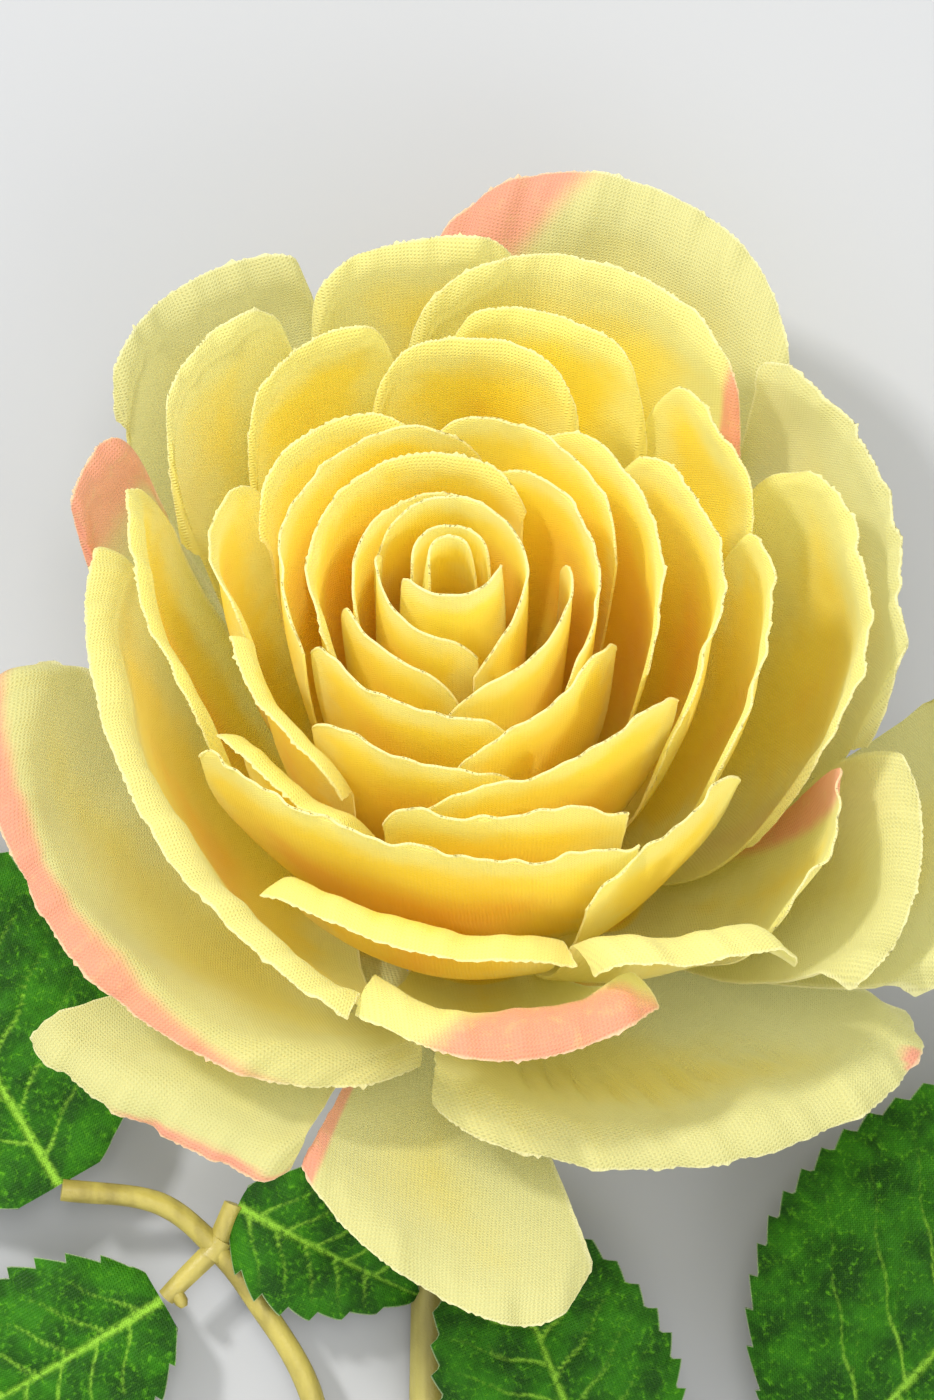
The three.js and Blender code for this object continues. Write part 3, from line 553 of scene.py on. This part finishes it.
# ---- the petals ----
# Die-cut polyester cloth, dipped yellow at the rim, golden further in and orange at the claw, then
# heat-pressed into a cup with its edge rolled out. Some rims are brushed with pink. The weave runs
# up each petal and frays along the cut. They are threaded on the peg, a wider petal lower down.
# name, azimuths of its two sides, crest radii, heights, shape. In the shape, lip is the length of
# the rolled edge in mm and how far it turns in degrees.
PETALS = [
    ("bud_petal_1", 23, 207, [2.5, 3.1, 2.5], 61.5, {}),
    ("bud_petal_2", 5, 195, [4.0, 4.9, 4.3], 61, {}),
    ("bud_petal_3", 190, 370, [5.7, 5.3, 5.7], 62, {"drop": [0.05, 0.05], "sink": 2.4}),
    ("bud_petal_4", 160, 290, [8.9, 8.7, 8.6], [61, 59, 56.5], {"drop": [0.05, 0.05]}),
    ("bud_petal_5", -75, 160, [10, 8.3, 9.6], [56.5, 61, 61], {}),
    ("bud_petal_6", 62, 206, [9.2, 10.6, 12.0], 60, {}),
    ("bud_petal_7", 188, 274, [13, 12.5, 12.4], [58, 57, 54.5], {}),
    ("bud_petal_8", 268, 378, [13.9, 14.1, 13.6], [54.5, 57.5, 58.5], {}),
    ("inner_petal_1", 53, 207, [14.6, 16.6, 16.4], 59.5, {"lip": [3, 35]}),
    ("inner_petal_2", -42, 76, [18.2, 16.8, 16.6], 59, {}),
    ("inner_petal_3", 200, 296, [17.6, 16.9, 18.2], [57, 55.5, 53], {}),
    ("inner_petal_4", 270, 345, [20.8, 19.2, 20.2], [52, 55, 56], {}),
    ("inner_petal_5", 80, 202, [20.2, 21.0, 18.9], 58.5, {}),
    ("inner_petal_6", 16, 97, [20.4, 21.8, 22.4], 58, {}),
    ("inner_petal_7", 100, 157, [22.6, 26.4, 25.0], 57, {"lip": [3, 40]}),
    ("inner_petal_8", 143, 186, [28.4, 29.6, 24.8], 54, {"lip": [3, 30]}),
    ("inner_petal_9", 187, 240, [26.4, 26.6, 26.0], [55, 53, 50], {"lip": [5, 65]}),
    ("inner_petal_10", 222, 290, [22.2, 22.2, 22.6], [54, 52.5, 50.5], {}),
    ("inner_petal_11", -22, 64, [24.4, 25.0, 26.2], 57, {"lip": [2, 30]}),
    ("inner_petal_12", 260, 338, [25, 25.6, 28.6], [50, 52.5, 54], {}),
    ("middle_petal_1", -34, 52, [30.0, 31.6, 29.6], 55.5, {"lip": [2, 30]}),
    ("middle_petal_2", 60, 110, [33.0, 37.2, 33.0], 52, {"lip": [3, 40]}),
    ("middle_petal_3", 208, 250, [31.2, 30.6, 29.4], [49, 48, 47], {"drop": [0.06, 0.06], "lip": [5, 75]}),
    ("middle_petal_4", 253, 308, [27.6, 28.6, 33.2], 51, {"drop": [0.1, 0.03], "wave": [1.2, 1.5, 0]}),
    ("middle_petal_5", -32, 24, [36.4, 37.6, 36.6], 53, {"lip": [2, 30]}),
    ("middle_petal_6", 206, 306, [33.8, 31.2, 36.8], [50, 48.5, 48.5], {"drop": [0.12, 0.03]}),
    ("middle_petal_7", 20, 57, [39.4, 41.4, 43.6], 49, {"lip": [2, 30], "drop": [0.35, 0.3]}),
    ("middle_petal_8", 146, 208, [46.4, 36.6, 31.4], [50, 48.5, 47], {"lip": [4, 55]}),
    ("middle_petal_9", 97, 137, [41.0, 40.6, 34.6], 51, {"lip": [3, 40]}),
    ("middle_petal_10", 53, 94, [41.0, 43.6, 41.8], 50, {"lip": [3, 40], "sink": -4}),
    ("middle_petal_11", 294.5, 333, [38.0, 37.4, 38.8], [45, 46, 48], {"drop": [0.08, 0.12]}),
    ("middle_petal_12", 235, 290, [38.6, 40.4, 42.6], [42.5, 41, 40],
     {"drop": [0.08, 0.06], "lip": [7, 95]}),
    ("outer_petal_1", 112, 146, [49.4, 48.8, 42.0], 49, {"lip": [3, 50]}),
    ("outer_petal_2", 291.5, 319, [44.4, 50.2, 55.4], [41.5, 40.5, 38],
     {"lip": [9, 90], "drop": [0.08, 0.2]}),
    ("outer_petal_3", 158, 254.5, [46.4, 42.0, 46.6], [44, 39.5, 35],
     {"drop": [0.12, 0.06], "lip": [6, 80]}),
    ("outer_petal_4", 256, 300, [45, 50.6, 49.4], [34, 32.5, 35],
     {"lip": [9, 105], "drop": [0.08, 0.08], "sink": 4}),
    ("outer_petal_5", -26, 37, [42.6, 49.8, 46.0], [39, 46.5, 47], {"lip": [3, 40]}),
    ("outer_petal_6", 40, 99, [47.6, 54.6, 46.4], 47, {"lip": [4, 40]}),
    ("outer_petal_7", 319, 347, [50.4, 50.0, 47.0], [34, 37, 40], {"sink": 2}),
    ("outer_petal_8", 79, 111, [57.4, 56.4, 53.6], 45, {"lip": [4, 50], "sink": 2}),
    ("guard_petal_1", 165, 264, [57.2, 54.4, 45], [30, 19, 12], {"lip": [6, 85]}),
    ("guard_petal_2", -6, 47, [52.6, 55.6, 57], [42, 45, 43],
     {"lip": [3, 40], "drop": [0.2, 0.06], "round": 12}),
    ("guard_petal_3", 106, 138, [60, 62.4, 57], 40, {"lip": [5, 50], "drop": [0.2, 0.1], "round": 10}),
    ("guard_petal_4", 322, 352, [61.4, 60, 52.4], [28, 32, 36],
     {"lip": [6, 70], "drop": [0.06, 0.2], "round": 10}),
    ("guard_petal_5", 267, 331, [46, 62.5, 78], [8, 13, 20],
     {"lip": [7, 80], "drop": [0.06, 0.34], "round": 3.5}),
    ("guard_petal_6", 44, 96, [60.0, 73.0, 66.0], 38,
     {"lip": [8, 50], "drop": [0.2, 0.25], "round": 4}),
    ("guard_petal_7", 327, 363, [69, 68.6, 64], [24, 28, 32],
     {"lip": [6, 70], "drop": [0.1, 0.1], "round": 12}),
    ("guard_petal_8", 250.5, 285, [55, 67, 78], 4, {"lip": [5, 40], "drop": [0.03, 0.24], "round": 4}),
    ("guard_petal_9", 213, 249.5, [62.6, 58.8, 57.4], 5,
     {"lip": [6, 80], "drop": [0.02, 0.06], "round": 16}),
    ("guard_petal_10", 138.5, 157, [54, 52.8, 51.4], 37, {"lip": [4, 50]}),
]
# where a rim is brushed pink: the petal, the middle and half width of the patch from side to side
# (-1 to 1), and how far in from the edge it reaches, in mm
BLUSH = {
    "guard_petal_6": [(0.72, 0.45, 9)], "outer_petal_6": [(-0.95, 0.22, 20)],
    "guard_petal_10": [(0.0, 1.2, 9)], "outer_petal_4": [(0.25, 0.75, 7)],
    "outer_petal_7": [(1.0, 0.6, 26)], "guard_petal_1": [(-0.15, 0.7, 3)],
    "guard_petal_8": [(-1.0, 0.12, 20)], "guard_petal_9": [(0.4, 0.6, 1.2)],
    "guard_petal_5": [(0.75, 0.04, 1.5)],
}
CLOTH = 0.3                       # thickness of the cloth


def across(values, u):
    """The value at u, from -1 to 1, of a curve through three values at one side, middle, other."""
    first, middle, last = values if isinstance(values, list) else [values] * 3
    return middle + u * (last - first) / 2 + u * u * ((last + first) / 2 - middle)


def smoothstep(x):
    x = np.clip(x, 0, 1)
    return x * x * (3 - 2 * x)


def cup(base, rim, high):
    """The four points, in radius and height, of the curve that a petal's body follows."""
    rise = high - base[1]
    belly = 4 * np.exp(-rim / 6)
    reach = np.maximum(rim - base[0], 0)
    flare = 0.35 * np.clip((40 - high) / 40, 0, 1)
    return [
        np.stack([base[0] + 0 * rim, base[1] + 0 * rim]),
        np.stack([base[0] + 0.62 * reach, base[1] + 0.08 * rise]),
        np.stack([(0.97 - flare) * rim + belly, base[1] + 0.5 * rise]),
        np.stack([rim, high]),
    ]


def petal_surface(first, last, rims, heights, shape, u, v):
    """Points of a petal in the bloom's frame, for u from side to side and v from claw to edge."""
    lip_length, lip_angle = shape.get("lip", [0.8, 12])
    drop, square = shape["drop"], shape.get("round", 6)
    wave = shape.get("wave", [0, 1, 0])
    half = (last - first) / 2
    bend = math.radians(lip_angle)
    radius = lip_length / bend
    claw = min(0.9, 20 / half)
    spread = claw + (1 - claw) * smoothstep(np.minimum(1, v * 1.9))
    turn = np.radians(first + half + half * spread * u)
    base = seat(across(rims, 0) - radius * (1 - math.cos(bend)) + shape.get("sink", 0))
    base[0] += 0.75
    edge = np.stack([
        across(rims, u), across(heights, u)
        + wave[0] * np.sin(math.pi * wave[1] * u + math.radians(wave[2])),
    ])
    upright = cup(base, edge[0], edge[1])
    slope = upright[3] - upright[2]
    slope /= np.linalg.norm(slope, axis=0)

    def roll(angle, way):
        return (way * radius * np.sin(angle)
                + np.stack([way[1], -way[0]]) * radius * (1 - np.cos(angle)))

    crest = edge - roll(bend, slope)
    a, b, c, d = cup(base, crest[0], crest[1])
    corner = np.where(u < 0, drop[0], drop[1]) * np.abs(u) ** square
    t = np.minimum(v / 0.82, 1) * (1 - corner)
    place = (1 - t) ** 3 * a + 3 * (1 - t) ** 2 * t * b + 3 * (1 - t) * t ** 2 * c + t ** 3 * d
    way = 3 * (1 - t) ** 2 * (b - a) + 6 * (1 - t) * t * (c - b) + 3 * t ** 2 * (d - c)
    way /= np.linalg.norm(way, axis=0)
    place = place + np.where(v > 0.82, roll(bend * np.maximum(v - 0.82, 0) / 0.18, way), 0)
    return np.stack([place[0] * np.cos(turn), place[0] * np.sin(turn), place[1]], 2)


# the dye: pale at the rim, golden further in, orange at the claw, with soft uneven borders
dye, given, result = group(
    "petal dye",
    {"Flat": "vector", "Edge": 9.0, "Pink": 0.0, "Rim": srgb("F4EC96"), "Gold": srgb("FFD42A"),
     "Heart": srgb("FF9A08"), "Gold From": 2.0, "Gold To": 10.0, "Heart From": 12.0,
     "Heart To": 26.0},
    {"Color": "Color"},
)
cloudy = maths(dye, "SUBTRACT", noise(dye, given["Flat"], 0.12, 3.0, 0.6), 0.5)
depth = maths(dye, "MULTIPLY_ADD", cloudy, 9.0, given["Edge"])
tint = mixed(dye, ramp(dye, depth, given["Gold From"], given["Gold To"]), given["Rim"],
             given["Gold"])
tint = mixed(dye, ramp(dye, depth, given["Heart From"], given["Heart To"]), tint, given["Heart"])
brushed = maths(dye, "MULTIPLY", given["Pink"], ramp(dye, noise(
    dye, given["Flat"], 0.5, 3.0, 0.6), 0.2, 0.5, 0.75, 1.0))
tint = mixed(dye, brushed, tint, srgb("F09C89"))
speck = ramp(dye, noise(dye, given["Flat"], 0.9, 1.0), 0.86, 0.9)
tint = mixed(dye, maths(dye, "MULTIPLY", speck, 0.5), tint, srgb("B58A20"))
tint = mixed(dye, ramp(dye, given["Edge"], 0.32, 0.0, 0, 0.5), tint, srgb("FBF7CE"))
dye.links.new(tint, result["Color"])


def petal_cloth(name, rim, gold, heart, bands):
    material, tree, shader = new_material(name)
    flat = named(tree, "flat")
    colour = use(tree, dye, Flat=flat, Edge=named(tree, "edge", 2), Pink=named(tree, "pink", 2),
                 Rim=srgb(rim), Gold=srgb(gold), Heart=srgb(heart), Gold_From=bands[0],
                 Gold_To=bands[1], Heart_From=bands[2], Heart_To=bands[3])["Color"]
    threads = use(tree, weave, Flat=flat, Pitch=0.46, Wobble=0.35)
    # Painted shade: in the gaps between the threads the dye is darkened by multiplying it with D8B878.
    shade = mixed(tree, maths(tree, "MULTIPLY", threads["Gap"], 0.22), colour,
                  mixed(tree, 1.0, colour, srgb("D8B878"), "MULTIPLY"))
    tree.links.new(shade, shader["Base Color"])
    tree.links.new(ramp(tree, noise(tree, flat, 0.25), 0.3, 0.7, 0.62, 0.8), shader["Roughness"])
    creases = noise(tree, flat, 0.09, 2.0, 0.4)
    height = maths(tree, "MULTIPLY_ADD", threads["Height"], 0.07, creases)
    normal = bumped(tree, height, 0.0012)
    tree.links.new(normal, shader["Normal"])
    shader["Specular IOR Level"].default_value = 0.3
    shader["Sheen Weight"].default_value = 0.15
    shader["Sheen Roughness"].default_value = 0.4
    through = tree.nodes.new("ShaderNodeBsdfTranslucent")
    tree.links.new(mixed(tree, 0.35, colour, (1, 0.95, 0.32, 1)), through.inputs["Color"])
    tree.links.new(normal, through.inputs["Normal"])
    cloth = tree.nodes.new("ShaderNodeMixShader")
    cloth.inputs[0].default_value = 0.45
    tree.links.new(tree.nodes["Principled BSDF"].outputs[0], cloth.inputs[1])
    tree.links.new(through.outputs[0], cloth.inputs[2])
    # light that has come through one face of the cloth leaves by the other unhindered
    leaving = tree.nodes.new("ShaderNodeMixShader")
    tree.links.new(add(tree, "NewGeometry", out="Backfacing"), leaving.inputs[0])
    tree.links.new(cloth.outputs[0], leaving.inputs[1])
    tree.links.new(tree.nodes.new("ShaderNodeBsdfTransparent").outputs[0], leaving.inputs[2])
    tree.links.new(leaving.outputs[0], tree.nodes["Material Output"].inputs["Surface"])
    return material


RINGS = {
    "bud": (petal_cloth("bud petal cloth", "F9F08C", "FFE83C", "FFD41C", (0.5, 5.0, 5.0, 13.0)),
            "petal_golden", 0.2, 0.08),
    "inner": (petal_cloth("inner petal cloth", "F9F088", "FFE530", "FFCE12", (0.8, 6.0, 6.0, 15.0)),
              "petal_golden", 0.4, 0.08),
    "middle": (petal_cloth("middle petal cloth", "F6EE88", "FFE436", "FFC60C",
                           (1.5, 8.0, 9.0, 20.0)), "petal_golden", 0.6, 0.25),
    "outer": (petal_cloth("outer petal cloth", "EDE894", "FBE250", "FFC20E",
                          (4.0, 15.0, 15.0, 30.0)), "petal_pale", 0.9, 0.25),
    # The guard petals' colours are partly the paler cloth they are cut from and partly painted shade:
    # their rim, gold and heart are darker and duller than the outer ring's because the lowest petals lie
    # in shade.
    "guard": (petal_cloth("guard petal cloth", "DAD694", "DECC5E", "ECBE3A",
                          (6.0, 22.0, 28.0, 50.0)), "petal_pale", 1.1, 0.25),
}
for name, first, last, rims, heights, shape in PETALS:
    ring = name.split("_")[0]
    shape = {"drop": [RINGS[ring][3]] * 2, **shape}
    chance = np.random.default_rng(sum(ord(letter) * 7 ** i for i, letter in enumerate(name)) % 9973)
    # how long and how wide the sheet is before it is pressed
    spine = petal_surface(first, last, rims, heights, shape, np.zeros((1, 60)),
                          np.linspace(0, 1, 60)[None])[0]
    length = float(np.linalg.norm(np.diff(spine, axis=0), axis=1).sum())
    rim_line = petal_surface(first, last, rims, heights, shape, np.linspace(-1, 1, 60)[None],
                             np.full((1, 60), 0.8))[0]
    width = float(np.linalg.norm(np.diff(rim_line, axis=0), axis=1).sum())
    columns = int(np.clip(width / 0.5, 40, 300)) // 2 * 2 + 1
    fringe = 0.3 / length
    levels = np.concatenate([np.linspace(0, 0.72, 13), np.linspace(0.75, 1 - fringe, 12), [1]])
    v, u = np.meshgrid(levels, np.linspace(-1, 1, columns), indexing="ij")
    grid = petal_surface(first, last, rims, heights, shape, u, v)

    # where each point lies on the flat sheet, and how far it is from the cut edge
    rises = np.linalg.norm(np.diff(grid, axis=0), axis=2)
    up_mm = np.concatenate([np.zeros((1, columns)), np.cumsum(rises, axis=0)], axis=0)
    claw = min(0.9, 40 / (last - first))
    spread = claw + (1 - claw) * smoothstep(np.minimum(1, v * 1.9))
    side_mm = np.hypot(grid[:, :, 0], grid[:, :, 1]) * np.radians(last - first) / 2 * spread * u
    half_wide = np.maximum(side_mm[:, -1:], -side_mm[:, :1])
    edge = np.minimum(up_mm[-1] - up_mm, np.where(v < 0.2, 99, half_wide - np.abs(side_mm)))

    # the cloth is never quite even: slow waves over it, and smaller ones near its free edge
    normal = np.cross(np.gradient(grid, axis=1), np.gradient(grid, axis=0))
    normal /= np.maximum(np.linalg.norm(normal, axis=2), 1e-9)[:, :, None]
    phase = chance.uniform(0, 2 * math.pi, 8)
    depth = RINGS[ring][2]
    slow = (np.sin(side_mm * 0.21 + phase[0]) * np.sin(up_mm * 0.16 + phase[1])
            + 0.6 * np.sin(side_mm * 0.37 + up_mm * 0.2 + phase[2]))
    quick = (np.sin(side_mm * 0.62 + phase[3]) + 0.7 * np.sin(side_mm * 1.05 + phase[4])
             + 0.4 * np.sin(side_mm * 1.9 + phase[5]))
    bulge = depth * (0.5 * slow * smoothstep(v * 1.6 - 0.4) + 0.4 * quick * smoothstep(v * 4 - 3))
    if name == "guard_petal_5":       # creases pressed in below the rolled edge above it
        for k in range(9):
            at_u = -0.5 + 0.13 * k + 0.03 * math.sin(3.1 * k)
            ridge = np.exp(-((u - at_u + 0.1 * (v - 0.6)) * width / 2 / 1.1) ** 2)
            bulge = bulge + ridge * np.exp(-((v - 0.6 - 0.03 * math.sin(5 * k)) / 0.1) ** 2)
    grid = grid + normal * bulge[:, :, None]

    # the cut edge frays: the ends of the threads stand out from it by uneven amounts
    ends = chance.uniform(-0.1, 0.1, columns) + 0.1 * (np.arange(columns) % 2)
    ends += np.where(chance.random(columns) > 0.95, chance.uniform(0.1, 0.35, columns), 0)
    way = grid[-1] - grid[-2]
    grid[-1] += way / np.linalg.norm(way, axis=1)[:, None] * ends[:, None]
    for side, inward in ((0, 1), (-1, -2)):
        out = grid[:, side] - grid[:, inward]
        out /= np.maximum(np.linalg.norm(out, axis=1), 1e-9)[:, None]
        grid[:, side] += out * (chance.uniform(-0.1, 0.22, len(levels)) * (levels > 0.2))[:, None]

    pink = np.zeros_like(u)
    for middle, half_width, reach in BLUSH.get(name, []):
        over = smoothstep(1.25 - np.abs(u - middle) / half_width * 0.9)
        pink = np.maximum(pink, smoothstep((over * 1.6 - (up_mm[-1] - up_mm) / reach) * 1.4))
    taper = np.ones_like(u)
    taper[-1] = 0.55
    points, faces = slab(from_bloom(grid.reshape(-1, 3)).reshape(grid.shape), CLOTH, taper)
    petal = build(
        name + "_cloth", points, faces, RINGS[ring][0], name, RINGS[ring][1], sharp=60,
        flat=np.stack([both(side_mm) + 40 * phase[6], both(up_mm) + 40 * phase[7], 0 * both(u)], 1),
        edge=both(edge), pink=both(pink),
    )

# ---- the table ----
# A plain pale floor, very slightly mottled, that the rose lies on.
table_material, tree, shader = new_material("pale floor")
tree.links.new(mixed(tree, noise(tree, add(tree, "TexCoord", out=3), 3.0), (0.375, 0.375, 0.378, 1),
                     (0.386, 0.386, 0.389, 1)), shader["Base Color"])
shader["Roughness"].default_value = 0.9
table_mesh = bpy.data.meshes.new("table")
table_mesh.from_pydata([(-8, -8, 0), (8, -8, 0), (8, 8, 0), (-8, 8, 0)], [], [(0, 1, 2, 3)])
table_mesh.materials.append(table_material)
table = bpy.data.objects.new("table", table_mesh)
bpy.context.scene.collection.objects.link(table)

# ---- the light and the camera ----
# A small softbox above and to the left gives short shadows. A larger one overhead, a wide one in
# front and a pale even room fill them. The camera looks straight down on the bloom.
world = bpy.data.worlds.new("room")
world.use_nodes = True
world.node_tree.nodes["Background"].inputs[0].default_value = (0.95, 0.98, 1.0, 1)
world.node_tree.nodes["Background"].inputs[1].default_value = 1.06
bpy.context.scene.world = world
bpy.context.scene.view_settings.view_transform = "Standard"


def softbox(name, away, size, power):
    lamp = bpy.data.lights.new(name, "AREA")
    lamp.size, lamp.energy = size, power
    holder = bpy.data.objects.new(name, lamp)
    target = bpy.data.objects.new(name + " target", None)
    target.location = (bloom_base + BLOOM_AXES[2] * 30) * MM
    holder.location = target.location
    holder.location.x += away[0]
    holder.location.y += away[1]
    holder.location.z += away[2]
    follow = holder.constraints.new("TRACK_TO")
    follow.target, follow.track_axis, follow.up_axis = target, "TRACK_NEGATIVE_Z", "UP_Y"
    for item in (holder, target):
        bpy.context.scene.collection.objects.link(item)


softbox("key softbox", (-0.78, 0.74, 1.05), 0.18, 18)
softbox("top softbox", (0.05, 0.3, 1.5), 0.5, 9)
softbox("fill softbox", (0.6, -0.9, 1.1), 1.0, 6)

CAMERA_PLACE = (1.7335, 14.3587, 700.98)     # in the rose's own frame
camera_data = bpy.data.cameras.new("camera")
camera_data.sensor_width = 36
camera_data.lens = 137.1343
camera = bpy.data.objects.new("camera", camera_data)
camera.location = (rose_shift + np.array(CAMERA_PLACE)) * MM
bpy.context.scene.collection.objects.link(camera)
bpy.context.scene.camera = camera
